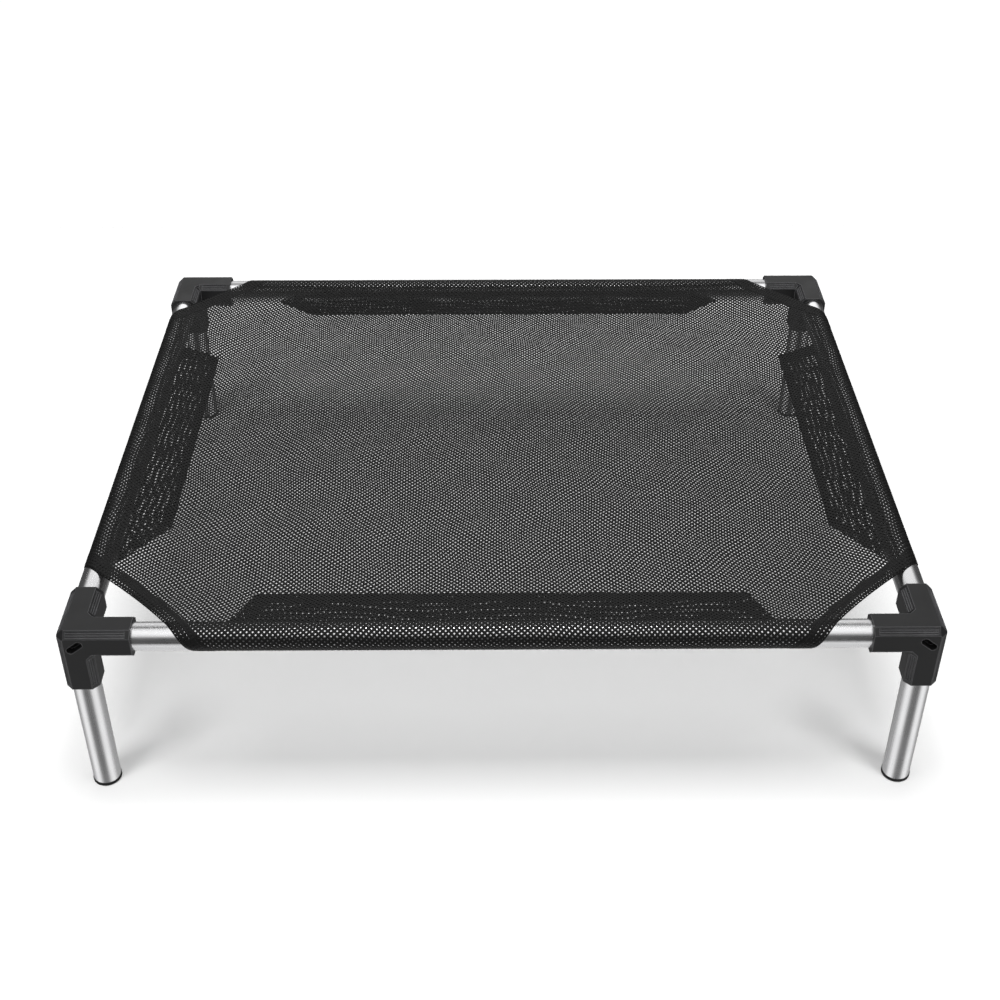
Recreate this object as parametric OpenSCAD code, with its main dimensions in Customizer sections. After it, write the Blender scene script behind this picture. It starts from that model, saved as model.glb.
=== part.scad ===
// Raised dog bed: a tube frame on four legs with a sewn mesh cover.
// Origin: centre of the bed at floor level. +X runs to the right, +Y to the back, +Z up.

/* [Bed] */
// Overall width, over the corner connectors
bed_w = 917; // [700:1:1200]
// Overall depth, over the corner connectors
bed_d = 775; // [600:1:1000]
// Overall height, floor to the top of the connectors
bed_h = 226; // [160:1:350]

/* [Tube] */
// Outside diameter of rails and legs
tube_d = 30; // [26:0.5:34]
// Wall of the tube
tube_wall = 1.5; // [1:0.1:2.5]

/* [Corner connector] */
// Gap all round a tube in its socket
push_fit = 0.15; // [0.1:0.05:0.3]
// Thinnest wall round a tube
socket_wall = 2.35; // [1:0.05:3]
// Bevel along every edge of an arm
arm_bevel = 7; // [5:0.5:8]
// How far the two rail sockets reach past the corner block
rail_socket = 41.5; // [25:0.5:60]
// How far the leg socket reaches below the corner block
leg_socket = 41.5; // [25:0.5:60]
// How far the facet on the outer corner lies from the sharp corner
nose_facet = 9; // [8.2:0.1:11]
// Width of the sunk panel in each bevel
panel_w = 6.4; // [5:0.2:6.8]
// Depth of the sunk panel
panel_deep = 0.9; // [0.5:0.1:1.2]
// Width of each of the two ribs in the panel
rib_w = 1.2; // [0.8:0.1:1.5]
// Height of the ribs above the panel floor
rib_high = 0.6; // [0.3:0.1:1]
// Plain band left between a panel and the socket's mouth
panel_margin = 5; // [3:0.5:10]
// Plain band left between a panel and the next arm or the corner facet
panel_root = 2; // [1:0.5:5]
// Length of the slanted slot in each outer face
slot_l = 20; // [14:0.5:22]
// Width of the slanted slot
slot_w = 8; // [5:0.5:9]
// Depth of the slanted slot
slot_deep = 9; // [4:0.5:12]
// Slope of the slot, falling towards the outer edge
slot_angle = 38; // [20:1:50]
// Distance of the slot's middle from the top and from the outer edge
slot_in = 18.4; // [14:0.1:24]

/* [Foot cap] */
// Thickness of the rubber pad under the tube
foot_h = 4; // [3:0.5:10]
// How far the pad stands out past the tube
foot_lip = 0.6; // [0.3:0.1:2]
// Height of the plug inside the tube
foot_plug = 22; // [12:1:40]
// Number of grip rings on the plug
foot_rings = 4; // [2:1:6]
// How far the grip rings stand out from the plug's core
foot_ring_h = 2; // [1:0.5:4]
// Bevel round the pad's lower edge
foot_bevel = 1; // [0.5:0.1:2]

/* [Cover] */
// Thickness of the mesh cloth
cloth_t = 1; // [0.6:0.1:1.2]
// Gap between the cloth and the rail inside it
cloth_gap = 0.3; // [0.2:0.1:0.6]
// Distance of the sleeve's seam from the middle of its rail
seam_in = 67; // [55:1:90]
// Corner cut: where it crosses the front and back rails, from the side rail's middle
cut_along_x = 95; // [85:1:130]
// Corner cut: where it crosses the side rails, from the front or back rail's middle
cut_along_y = 90; // [85:1:130]
// Slant of a front or back sleeve's ends as it wraps round, away from square
cross_slant_angle = 35; // [20:1:42]
// Slant of a side sleeve's ends as it wraps round, away from square
side_slant_angle = 38.5; // [20:0.5:42]
// Width of the folded hem along each corner cut
hem_w = 18.5; // [10:0.5:24]
// How far the hem's under leaf stays from the middle of a rail
hem_from = 9; // [6:0.5:20]
// Number of openings in a row across the deck, which stand for its far finer mesh
mesh_count = 8; // [4:1:12]
// Width of an opening between two flats
mesh_opening = 27; // [8:0.5:28]
// Least band of closed cloth along the deck's edge
mesh_border = 8; // [4:0.5:40]

/* [Hidden] */

LEFT = -1;
RIGHT = 1;
FRONT = -1;
REAR = 1;
eps = 0.01;               // overlap that keeps a cut clean
tube_fn = 96;
tube_r = tube_d / 2;
bore_r = tube_r + push_fit;
arm_w = 2 * (bore_r + socket_wall);
rail_x = bed_w / 2 - arm_w / 2;   // middle of the side rails and legs
rail_y = bed_d / 2 - arm_w / 2;   // middle of the front and back rails and legs
rail_z = bed_h - arm_w / 2;       // middle height of all four rails
cloth_in = tube_r + cloth_gap;    // inner radius of the cloth round a rail
cloth_out = cloth_in + cloth_t;
slope = asin(cloth_in / seam_in); // angle at which the cloth leaves the rail for its seam
deck_in = seam_in + cloth_t;      // where the flat deck starts, from the middle of a rail
wrap_arc = PI * cloth_out;        // length of cloth round the outer half of a rail
wrap_steps = 32;                  // flats in the cloth round a rail
ring_share = 0.5;                 // share of the plug's pitch that a grip ring takes
nose_end = nose_facet * sqrt(3) - arm_bevel; // where the corner facet ends along an edge

// The cover's corners. A corner cut runs from rail to rail, and the cloth comes down from it to a
// fold beside it, where the flat deck begins. The fold starts where the front or back seam ends.
seam_end_x = cut_along_x + tan(cross_slant_angle) * (wrap_arc + deck_in); // from a side rail's middle
fold_share = seam_end_x / cut_along_x + deck_in / cut_along_y; // the fold's distance, in corner cuts
fold_end_y = cut_along_y * (fold_share - deck_in / cut_along_x); // where the fold meets a side seam

// The deck's openings stand on their corners, in rows that are offset by half a space
mesh_step = (rail_x - deck_in) / mesh_count;
mesh_rows = floor((rail_y - deck_in) / mesh_step);
mesh_reach = mesh_opening / sqrt(2) + mesh_border; // from an opening's middle to the deck's edge

// ---------- Corner connector ----------
// Local frame: the outer corner of the block is the origin, and the arms run along +X, +Y and -Z.

// Octagonal outline of an arm, with its corner at the origin
module arm_outline() {
    polygon([
        [arm_bevel, 0], [arm_w - arm_bevel, 0], [arm_w, arm_bevel], [arm_w, arm_w - arm_bevel],
        [arm_w - arm_bevel, arm_w], [arm_bevel, arm_w], [0, arm_w - arm_bevel], [0, arm_bevel]]);
}

// Places an arm drawn along +Z from the origin so that it runs along one of the three axes
module along_x() { rotate([90, 0, 90]) mirror([0, 1, 0]) children(); }
module along_y() { rotate([-90, 0, 0]) children(); }
module along_leg() { mirror([0, 0, 1]) children(); }

// Removes the sharp edge of the block over its whole length
module edge_cut(length) {
    side = arm_bevel * sqrt(2);
    translate([0, 0, -eps]) rotate(45) translate([-side / 2, -side / 2, 0])
        cube([side, side, length + 2 * eps]);
}

// Sunk panel with two raised ribs, cut into the four bevels of an arm
module panel_cuts(reach) {
    first = arm_w + panel_root;
    last = arm_w + reach - panel_margin;
    face = arm_w / sqrt(2) - arm_bevel / sqrt(2);  // from the arm's middle to a bevel
    groove_w = (panel_w - 2 * rib_w) / 3;
    for (turn = [0:3]) {
        start = turn == 2 ? nose_end + panel_root : first;  // the outer bevel runs to the corner
        translate([arm_w / 2, arm_w / 2, start]) rotate(45 + 90 * turn) {
            translate([face - panel_deep + rib_high, -panel_w / 2, 0])
                cube([panel_deep, panel_w, last - start]);
            for (i = [-1:1])
                translate([face - panel_deep, i * (groove_w + rib_w) - groove_w / 2, 0])
                    cube([panel_deep, groove_w, last - start]);
        }
    }
}

module arm(reach) { linear_extrude(arm_w + reach) arm_outline(); }

// Socket for a tube, from the arm's mouth down to the corner block
module socket(reach) {
    translate([arm_w / 2, arm_w / 2, arm_w]) cylinder(r = bore_r, h = reach + eps, $fn = tube_fn);
}

// Flattens the outer corner, where the three outer bevels meet
module nose_cut() {
    size = 2 * arm_w;
    rotate([0, acos(1 / sqrt(3)), 225]) translate([-size / 2, -size / 2, -nose_facet]) cube(size);
}

// Slanted slot in the front face, mirrored on the side face
module slot() {
    straight = slot_l - slot_w;
    translate([slot_in, -eps, -slot_in]) rotate([90, 0, 0]) mirror([0, 0, 1])
        rotate(slot_angle) linear_extrude(slot_deep + eps) {
            square([straight, slot_w], center = true);
            for (side = [-1, 1]) translate([side * straight / 2, 0]) circle(d = slot_w, $fn = 48);
        }
}

module connector() {
    color("#2b2b2c") difference() {
        union() {
            along_x() arm(rail_socket);
            along_y() arm(rail_socket);
            along_leg() arm(leg_socket);
        }
        along_x() { edge_cut(arm_w + rail_socket); panel_cuts(rail_socket); socket(rail_socket); }
        along_y() { edge_cut(arm_w + rail_socket); panel_cuts(rail_socket); socket(rail_socket); }
        along_leg() { edge_cut(arm_w + leg_socket); panel_cuts(leg_socket); socket(leg_socket); }
        nose_cut();
        slot();
        mirror([1, -1, 0]) slot();
    }
}

// Puts the one moulding at a corner: side and end are LEFT or RIGHT, FRONT or REAR
module at_corner(side, end) {
    mirror([side == RIGHT ? 1 : 0, 0, 0]) mirror([0, end == REAR ? 1 : 0, 0])
        translate([-bed_w / 2, -bed_d / 2, bed_h]) children();
}

// ---------- Frame tubes ----------
module tube(length) {
    color("#c9cacb") difference() {
        cylinder(r = tube_r, h = length, $fn = tube_fn);
        translate([0, 0, -eps]) cylinder(r = tube_r - tube_wall, h = length + 2 * eps, $fn = tube_fn);
    }
}

// Rail along X at the front or back, butted on the corner blocks
module cross_rail(end) {
    half = bed_w / 2 - arm_w;
    translate([-half, end * rail_y, rail_z]) rotate([0, 90, 0]) tube(2 * half);
}

// Rail along Y at the left or right
module side_rail(side) {
    half = bed_d / 2 - arm_w;
    translate([side * rail_x, half, rail_z]) rotate([90, 0, 0]) tube(2 * half);
}

module leg(side, end) {
    translate([side * rail_x, end * rail_y, foot_h]) tube(bed_h - arm_w - foot_h);
}

// ---------- Foot caps ----------
module foot(side, end) {
    pad_r = tube_r + foot_lip;
    plug_r = tube_r - tube_wall - push_fit;
    core_r = plug_r - foot_ring_h;
    pitch = foot_plug / foot_rings;
    color("#1b1b1c") translate([side * rail_x, end * rail_y, 0]) {
        rotate_extrude($fn = tube_fn)
            polygon([[0, 0], [pad_r - foot_bevel, 0], [pad_r, foot_bevel], [pad_r, foot_h],
                [core_r, foot_h], [core_r, foot_h + foot_plug], [0, foot_h + foot_plug]]);
        for (i = [0:foot_rings - 1])
            translate([0, 0, foot_h + (i + (1 - ring_share) / 2) * pitch])
                cylinder(r = plug_r, h = ring_share * pitch, $fn = tube_fn);
    }
}

// ---------- Mesh cover ----------
// Local frame of a sleeve: u runs inwards from the rail, z up from its middle, and the rail lies
// along the extrusion.

// Points of the arc that the cloth follows round the rail, from its upper to its lower side
function wrap(r) = [for (i = [0:wrap_steps])
    let (angle = 90 - slope + i * (180 + 2 * slope) / wrap_steps) r * [cos(angle), sin(angle)]];

// Cross-section of a sleeve: over the rail, round it, and back up to the seam.
module sleeve_section() {
    tip = (seam_in * cloth_out / cloth_in - deck_in) * tan(slope);
    difference() {
        polygon(concat(wrap(cloth_out), [[deck_in, -tip], [deck_in, tip]]));
        polygon(concat(wrap(cloth_in), [[seam_in, 0]]));
    }
}

// Plan outline of the upper layer. half is half the run between the two crossing rails, cut is where
// the corner cut crosses the rail, and fold is where the upper layer ends at its seam.
module upper_plan(half, cut, slant, fold) {
    outer = half - cut - tan(slant) * wrap_arc / 2;
    side = [[-cloth_out - eps, outer], [0, half - cut], [deck_in, half - fold]];
    polygon(concat(side, [for (i = [2:-1:0]) [side[i][0], -side[i][1]]]));
}

// Plan outline of the lower layer, which gets shorter at the same rate up to its seam
module lower_plan(half, cut, slant) {
    bottom = half - cut - tan(slant) * wrap_arc;
    side = [[-cloth_out - eps, bottom + tan(slant) * wrap_arc / 2], [0, bottom],
        [deck_in, bottom - tan(slant) * deck_in]];
    polygon(concat(side, [for (i = [2:-1:0]) [side[i][0], -side[i][1]]]));
}

// Sleeve along the local y axis, with its open side towards +u
module sleeve(half, cut, slant, fold) {
    past = 2 * cloth_out;
    color("#1d1d1e") intersection() {
        translate([0, half, 0]) rotate([90, 0, 0]) linear_extrude(2 * half) sleeve_section();
        union() {
            linear_extrude(past) upper_plan(half, cut, slant, fold);
            translate([0, 0, -past]) linear_extrude(past) lower_plan(half, cut, slant);
        }
    }
}

module cross_sleeve(end) {
    translate([0, end * rail_y, rail_z]) rotate(-90 * end)
        sleeve(rail_x, cut_along_x, cross_slant_angle, seam_end_x);
}

module side_sleeve(side) {
    translate([side * rail_x, 0, rail_z]) rotate(side == RIGHT ? 180 : 0)
        sleeve(rail_y, cut_along_y, side_slant_angle, fold_end_y);
}

// Whether an opening round a point of the deck keeps clear of the four seams and the four folds
function in_deck(x, y) =
    let (in_x = rail_x - abs(x), in_y = rail_y - abs(y), cut = [1 / cut_along_x, 1 / cut_along_y])
    min(in_x, in_y) >= deck_in + mesh_reach
    && [in_x, in_y] * cut >= fold_share + mesh_reach * norm(cut);

// Flat middle of the cover, between the four seams and the four corner folds
module mesh_deck() {
    corner = [[rail_x - deck_in, rail_y - fold_end_y], [rail_x - seam_end_x, rail_y - deck_in]];
    color("#1d1d1e") translate([0, 0, rail_z - cloth_t / 2]) linear_extrude(cloth_t) difference() {
        polygon([corner[0], corner[1], [-corner[1][0], corner[1][1]], [-corner[0][0], corner[0][1]],
            -corner[0], -corner[1], [corner[1][0], -corner[1][1]], [corner[0][0], -corner[0][1]]]);
        for (i = [-mesh_count:mesh_count], j = [-mesh_rows:mesh_rows])
            if ((i + j) % 2 == 0 && in_deck(i * mesh_step, j * mesh_step))
                translate([i * mesh_step, j * mesh_step]) rotate(45) square(mesh_opening, center = true);
    }
}

// Corner of the cover, in a frame with its origin where the middles of the two rails cross, +x and
// +y inwards: the sheet from the corner cut down to the fold, and the hem's under leaf below it.
module cover_corner() {
    cut_line = sqrt(pow(cut_along_x, 2) + pow(cut_along_y, 2));
    fold_in = (fold_share - 1) * cut_along_x * cut_along_y / cut_line; // from the cut to the fold
    high = seam_in * tan(slope);                // the sheet's lower side, over the rails
    low = -cloth_t / 2;                         // and at the fold
    fall = (high - low) / fold_in;
    sheet_t = cloth_t * sqrt(1 + fall * fall);  // measured straight up
    under = function(in) high - fall * in;
    // profile across the cut, swept along it
    module swept(from, to, bottom, top) {
        translate([cut_along_x, 0, 0]) rotate(180 - atan2(cut_along_y, cut_along_x))
            translate([-cut_line, 0, 0]) rotate([90, 0, 90]) linear_extrude(3 * cut_line)
                mirror([1, 0]) polygon([[from, under(from) + bottom], [to, under(to) + bottom],
                    [to, under(to) + top], [from, under(from) + top]]);
    }
    intersection() {
        swept(-eps, fold_in + eps, 0, sheet_t);
        translate([0, 0, -cloth_out]) linear_extrude(3 * cloth_out) polygon([[cut_along_x, 0],
            [seam_end_x, deck_in], [deck_in, fold_end_y], [0, cut_along_y]]);
    }
    intersection() {
        swept(0, hem_w, -sheet_t, sheet_t / 2);
        linear_extrude(2 * cloth_out) translate([hem_from, hem_from])
            square([seam_end_x - hem_from, fold_end_y - hem_from]);
    }
}

module hem(side, end) {
    color("#171718") mirror([side == RIGHT ? 1 : 0, 0, 0]) mirror([0, end == REAR ? 1 : 0, 0])
        translate([-rail_x, -rail_y, rail_z]) cover_corner();
}

at_corner(LEFT, FRONT) connector();  // connector_front_left
at_corner(RIGHT, FRONT) connector();  // connector_front_right
at_corner(LEFT, REAR) connector();  // connector_rear_left
at_corner(RIGHT, REAR) connector();  // connector_rear_right
cross_rail(FRONT);  // rail_front
cross_rail(REAR);  // rail_rear
side_rail(LEFT);  // rail_left
side_rail(RIGHT);  // rail_right
leg(LEFT, FRONT);  // leg_front_left
leg(RIGHT, FRONT);  // leg_front_right
leg(LEFT, REAR);  // leg_rear_left
leg(RIGHT, REAR);  // leg_rear_right
foot(LEFT, FRONT);  // foot_front_left
foot(RIGHT, FRONT);  // foot_front_right
foot(LEFT, REAR);  // foot_rear_left
foot(RIGHT, REAR);  // foot_rear_right
mesh_deck();
cross_sleeve(FRONT);  // sleeve_front
cross_sleeve(REAR);  // sleeve_rear
side_sleeve(LEFT);  // sleeve_left
side_sleeve(RIGHT);  // sleeve_right
hem(LEFT, FRONT);  // hem_front_left
hem(RIGHT, FRONT);  // hem_front_right
hem(LEFT, REAR);  // hem_rear_left
hem(RIGHT, REAR);  // hem_rear_right
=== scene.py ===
"""Looks of a raised dog bed: a black mesh cover held taut on an aluminium tube frame.

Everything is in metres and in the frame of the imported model: +X to the right, +Y to the back, +Z up,
with the floor at z = 0 under the middle of the bed.
"""

import logging
import math
import random
from dataclasses import dataclass, field, replace
from enum import Enum
from typing import Any, Callable, Iterable, Sequence
import bmesh
import bpy
from mathutils import Matrix, Vector


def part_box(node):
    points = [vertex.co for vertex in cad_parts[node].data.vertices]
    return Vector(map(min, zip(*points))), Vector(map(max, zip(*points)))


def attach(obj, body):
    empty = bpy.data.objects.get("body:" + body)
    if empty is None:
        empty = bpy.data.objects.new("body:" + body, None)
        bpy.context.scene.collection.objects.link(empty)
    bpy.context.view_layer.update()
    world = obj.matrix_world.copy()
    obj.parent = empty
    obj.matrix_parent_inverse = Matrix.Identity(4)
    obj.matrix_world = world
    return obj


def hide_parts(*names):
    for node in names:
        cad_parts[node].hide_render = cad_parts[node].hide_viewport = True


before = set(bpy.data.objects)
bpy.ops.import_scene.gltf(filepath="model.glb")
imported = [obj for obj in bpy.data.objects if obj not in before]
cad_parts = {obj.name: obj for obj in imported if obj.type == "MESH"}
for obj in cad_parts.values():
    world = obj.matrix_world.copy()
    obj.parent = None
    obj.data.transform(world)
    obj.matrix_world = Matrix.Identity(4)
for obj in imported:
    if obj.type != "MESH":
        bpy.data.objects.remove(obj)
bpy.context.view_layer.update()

LOG = logging.getLogger("dog_bed")
MM = 0.001
ROOT = "root"
CLOTH_MAP = "cloth"

TOUCHING = 1e-6  # points nearer than this, in metres, are taken as one
CUTTING = 1e-7  # points nearer than this to a cut are taken as on it

Point = tuple[float, float]


# ---------------------------------------------------------------------------------------------
# Names and small helpers
# ---------------------------------------------------------------------------------------------


class Named(Enum):
    """A choice whose name is also part of other names."""

    @property
    def word(self) -> str:
        """Its name as nodes, pieces and finishes have it."""
        return self.name.lower()


class Side(Named):
    """Left or right half of the bed, with its sign along X."""

    LEFT = -1
    RIGHT = 1


class End(Named):
    """Front or rear half of the bed, with its sign along Y."""

    FRONT = -1
    REAR = 1


class Axis(Named):
    """The axis that a tube runs along."""

    X = 0
    Y = 1
    Z = 2


def linear(code: str) -> tuple[float, float, float, float]:
    """Turns an sRGB hex colour into the linear colour that shaders use.

    Args:
        code: the colour as "#rrggbb".

    Returns:
        Linear red, green and blue, and an alpha of one.
    """
    parts = [int(code[i : i + 2], 16) / 255 for i in (1, 3, 5)]
    lin = [c / 12.92 if c <= 0.04045 else ((c + 0.055) / 1.055) ** 2.4 for c in parts]
    return lin[0], lin[1], lin[2], 1.0


Inputs = dict[Any, Any] | Sequence[Any]


def feed(node: bpy.types.Node, inputs: Inputs) -> None:
    """Sets or links a node's inputs.

    Args:
        node: the node.
        inputs: values by the inputs' names or numbers, or in the inputs' order. A socket is linked,
            and a node stands for its first output.
    """
    pairs = inputs.items() if isinstance(inputs, dict) else enumerate(inputs)
    for key, value in pairs:
        if isinstance(value, bpy.types.Node):
            value = value.outputs[0]
        if isinstance(value, bpy.types.NodeSocket):
            node.id_data.links.new(value, node.inputs[key])
        else:
            node.inputs[key].default_value = value


def add_node(tree: bpy.types.NodeTree, kind: str, inputs: Inputs = (), **settings: Any) -> bpy.types.Node:
    """Adds one node with its settings, values and links.

    Args:
        tree: the node tree that gets the node.
        kind: the node's type, such as "ShaderNodeBump".
        inputs: its inputs, as feed takes them.
        **settings: the node's own properties, such as operation="ADD".

    Returns:
        The new node.
    """
    node = tree.nodes.new(kind)
    for name, value in settings.items():
        setattr(node, name, value)
    feed(node, inputs)
    return node


def new_material(name: str) -> tuple[bpy.types.Material, bpy.types.NodeTree, bpy.types.Node]:
    """Starts a material.

    Args:
        name: the material's name.

    Returns:
        The material, its node tree and its shader.
    """
    made = bpy.data.materials.new(name)
    made.use_nodes = True
    return made, made.node_tree, made.node_tree.nodes["Principled BSDF"]


def mesh_object(name: str, bm: bmesh.types.BMesh, smooth: bool = True) -> bpy.types.Object:
    """Turns a finished bmesh into an object at the origin and frees the bmesh.

    Args:
        name: the object's name.
        bm: the piece, with its place in its vertices.
        smooth: whether its faces are shaded smooth.

    Returns:
        The new object, linked to the scene.
    """
    mesh = bpy.data.meshes.new(name)
    for face in bm.faces:
        face.smooth = smooth
    bm.to_mesh(mesh)
    bm.free()
    made = bpy.data.objects.new(name, mesh)
    bpy.context.scene.collection.objects.link(made)
    return made


def area_of(outline: Sequence[Sequence[float]]) -> float:
    """Area of a flat patch from its corners in order."""
    pairs = zip(outline, (*outline[1:], outline[0]))
    return abs(sum(a[0] * b[1] - b[0] * a[1] for a, b in pairs)) / 2


def report(piece: bpy.types.Object) -> None:
    """Logs a finished piece and its number of triangles."""
    piece.data.calc_loop_triangles()
    LOG.info("%s: %d triangles", piece.name, len(piece.data.loop_triangles))


# ---------------------------------------------------------------------------------------------
# Finishes
# ---------------------------------------------------------------------------------------------


@dataclass(frozen=True)
class MouldedNylon:
    """Black glass-filled nylon, injection moulded in a spark-eroded tool.

    The eye sees an even, dry black with a fine grain, and edges that the mould rounded, painted
    lighter there: partly a painted highlight along them, partly rubbed wear.
    """

    name: str = "moulded_nylon"
    skin: str = "#232324"
    edge: str = "#9a9a9d"  # painted highlight along the rounded edges, and rubbed wear
    grain_mm: float = 0.9  # real grit is about 0.2 mm; drawn coarser so that it shows
    flow_mm: float = 35.0  # slow clouding from the flow of the melt
    clouding: tuple[float, float] = (0.3, 0.7)  # how far those clouds reach
    roughness: tuple[float, float] = (0.42, 0.54)  # over those clouds
    relief: tuple[float, float] = (0.35, 0.05 * MM)  # strength and depth of the grain
    edge_radius_mm: float = 1.3  # the mould gives about 0.5 mm; drawn wider so that it shows
    edge_bend: tuple[float, float] = (0.998, 0.95)  # cosine of the bend where its tone starts and is full
    ior: float = 1.53

    def build(self) -> bpy.types.Material:
        """Makes the material.

        Returns:
            The material.
        """
        made, tree, shader = new_material(self.name)
        place = add_node(tree, "ShaderNodeTexCoord").outputs["Object"]
        grain, flow = (
            add_node(tree, "ShaderNodeTexNoise", {"Vector": place, "Scale": 1 / size, "Detail": detail})
            for size, detail in ((self.grain_mm * MM, 2.0), (self.flow_mm * MM, 3.0))
        )
        rounded = add_node(tree, "ShaderNodeBevel", {"Radius": self.edge_radius_mm * MM}, samples=6)
        plain = add_node(tree, "ShaderNodeNewGeometry").outputs["Normal"]
        # The rounded edges are painted lighter, patchy with the clouds: partly a painted highlight along
        # them, partly rubbed wear.
        bent = add_node(tree, "ShaderNodeVectorMath", (rounded, plain), operation="DOT_PRODUCT")
        rim = add_node(tree, "ShaderNodeMapRange", (bent.outputs["Value"], *self.edge_bend))
        edge_highlight_and_wear = add_node(tree, "ShaderNodeMath", (rim, flow), operation="MULTIPLY")
        tones = {"Factor": edge_highlight_and_wear, 6: linear(self.skin), 7: linear(self.edge)}
        colour = add_node(tree, "ShaderNodeMix", tones, data_type="RGBA").outputs[2]
        gloss = add_node(tree, "ShaderNodeMapRange", (flow, *self.clouding, *self.roughness))
        strength, depth = self.relief
        grit = {"Height": grain, "Strength": strength, "Distance": depth, "Normal": rounded}
        relief = add_node(tree, "ShaderNodeBump", grit)
        feed(shader, {"Base Color": colour, "Roughness": gloss, "Normal": relief, "IOR": self.ior})
        return made


@dataclass(frozen=True)
class AnodisedAluminium:
    """Extruded aluminium tube, satin anodised.

    The eye sees a soft silver that runs from white to dark grey round the tube, with faint die
    lines along it.
    """

    along: Axis
    name: str = "anodised_aluminium"
    metal: str = "#ededee"
    line_mm: float = 0.8  # die lines are about 0.1 mm apart; drawn coarser so that they show
    line_length_mm: float = 160.0  # how far a line runs before it fades
    cloud_mm: float = 30.0  # slow clouding of the anodised skin
    clouding: tuple[float, float] = (0.7, 1.3)  # how far lines and clouds reach together
    roughness: tuple[float, float] = (0.23, 0.31)  # over that reach
    relief: tuple[float, float] = (0.12, 0.02 * MM)  # strength and depth of the lines

    def build(self) -> bpy.types.Material:
        """Makes the material for tubes that run along one axis.

        Returns:
            The material.
        """
        made, tree, shader = new_material(f"{self.name}_{self.along.word}")
        place = add_node(tree, "ShaderNodeTexCoord").outputs["Object"]
        scale = [1 / (self.line_mm * MM)] * 3
        scale[self.along.value] = 1 / (self.line_length_mm * MM)
        drawn = add_node(tree, "ShaderNodeMapping", {"Vector": place, "Scale": scale})
        lines = add_node(tree, "ShaderNodeTexNoise", {"Vector": drawn, "Scale": 1.0, "Detail": 3.0})
        clouds = {"Vector": place, "Scale": 1 / (self.cloud_mm * MM), "Detail": 2.0}
        cloud = add_node(tree, "ShaderNodeTexNoise", clouds)
        mixed = add_node(tree, "ShaderNodeMath", (lines, cloud), operation="ADD")
        gloss = add_node(tree, "ShaderNodeMapRange", (mixed, *self.clouding, *self.roughness))
        strength, depth = self.relief
        drawn_in = {"Height": lines, "Strength": strength, "Distance": depth}
        relief = add_node(tree, "ShaderNodeBump", drawn_in)
        feed(shader, {"Base Color": linear(self.metal), "Metallic": 1.0})
        feed(shader, {"Roughness": gloss, "Normal": relief})
        return made


@dataclass(frozen=True)
class FootRubber:
    """Black moulded rubber of the foot caps.

    The eye sees a dead matt black with a dusty bloom and hardly any highlight.
    """

    name: str = "moulded_rubber"
    body: str = "#151515"
    bloom: str = "#262625"
    grain_mm: float = 0.7  # real grit is finer than 0.1 mm; drawn coarser so that it shows
    bloom_mm: float = 8.0  # patches of the bloom
    roughness: float = 0.78
    relief: tuple[float, float] = (0.4, 0.08 * MM)  # strength and depth of the grain
    ior: float = 1.52

    def build(self) -> bpy.types.Material:
        """Makes the material.

        Returns:
            The material.
        """
        made, tree, shader = new_material(self.name)
        place = add_node(tree, "ShaderNodeTexCoord").outputs["Object"]
        grain, dust = (
            add_node(tree, "ShaderNodeTexNoise", {"Vector": place, "Scale": 1 / size, "Detail": detail})
            for size, detail in ((self.grain_mm * MM, 3.0), (self.bloom_mm * MM, 4.0))
        )
        tones = {"Factor": dust, 6: linear(self.body), 7: linear(self.bloom)}
        colour = add_node(tree, "ShaderNodeMix", tones, data_type="RGBA").outputs[2]
        strength, depth = self.relief
        relief = add_node(tree, "ShaderNodeBump", {"Height": grain, "Strength": strength, "Distance": depth})
        feed(shader, {"Base Color": colour, "Roughness": self.roughness, "Normal": relief, "IOR": self.ior})
        return made


@dataclass(frozen=True)
class CoatedYarn:
    """Black polyester yarn coated with PVC, knitted into an open mesh.

    The eye sees a near-black cord with a faint plastic sheen, a fine rib along each strand, and
    small differences of depth from strand to strand.
    """

    name: str = "coated_yarn_mesh"
    deep: str = "#080808"
    lifted: str = "#171717"
    sheen: float = 0.35  # the ribbed coat scatters most of what a smooth one would mirror
    rib_mm: float = 0.9  # filaments are about 0.3 mm; drawn coarser so that they show
    shade_mm: float = 9.0  # about two strands, for their small differences
    ribbing: tuple[float, float] = (0.3, 0.7)  # how far the ribs' pattern reaches
    roughness: tuple[float, float] = (0.5, 0.68)  # over that reach
    relief: tuple[float, float] = (0.5, 0.12 * MM)  # strength and depth of the ribs
    ior: float = 1.5

    def build(self) -> bpy.types.Material:
        """Makes the material, which follows the cloth's own map.

        Returns:
            The material.
        """
        made, tree, shader = new_material(self.name)
        flat = add_node(tree, "ShaderNodeUVMap", uv_map=CLOTH_MAP)
        rib, shade = (
            add_node(tree, "ShaderNodeTexNoise", {"Vector": flat, "Scale": 1 / size, "Detail": detail})
            for size, detail in ((self.rib_mm * MM, 2.0), (self.shade_mm * MM, 4.0))
        )
        tones = {"Factor": shade, 6: linear(self.deep), 7: linear(self.lifted)}
        colour = add_node(tree, "ShaderNodeMix", tones, data_type="RGBA").outputs[2]
        gloss = add_node(tree, "ShaderNodeMapRange", (rib, *self.ribbing, *self.roughness))
        strength, depth = self.relief
        relief = add_node(tree, "ShaderNodeBump", {"Height": rib, "Strength": strength, "Distance": depth})
        feed(shader, {"Base Color": colour, "Roughness": gloss, "Normal": relief})
        feed(shader, {"IOR": self.ior, "Specular IOR Level": self.sheen})
        return made


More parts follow.
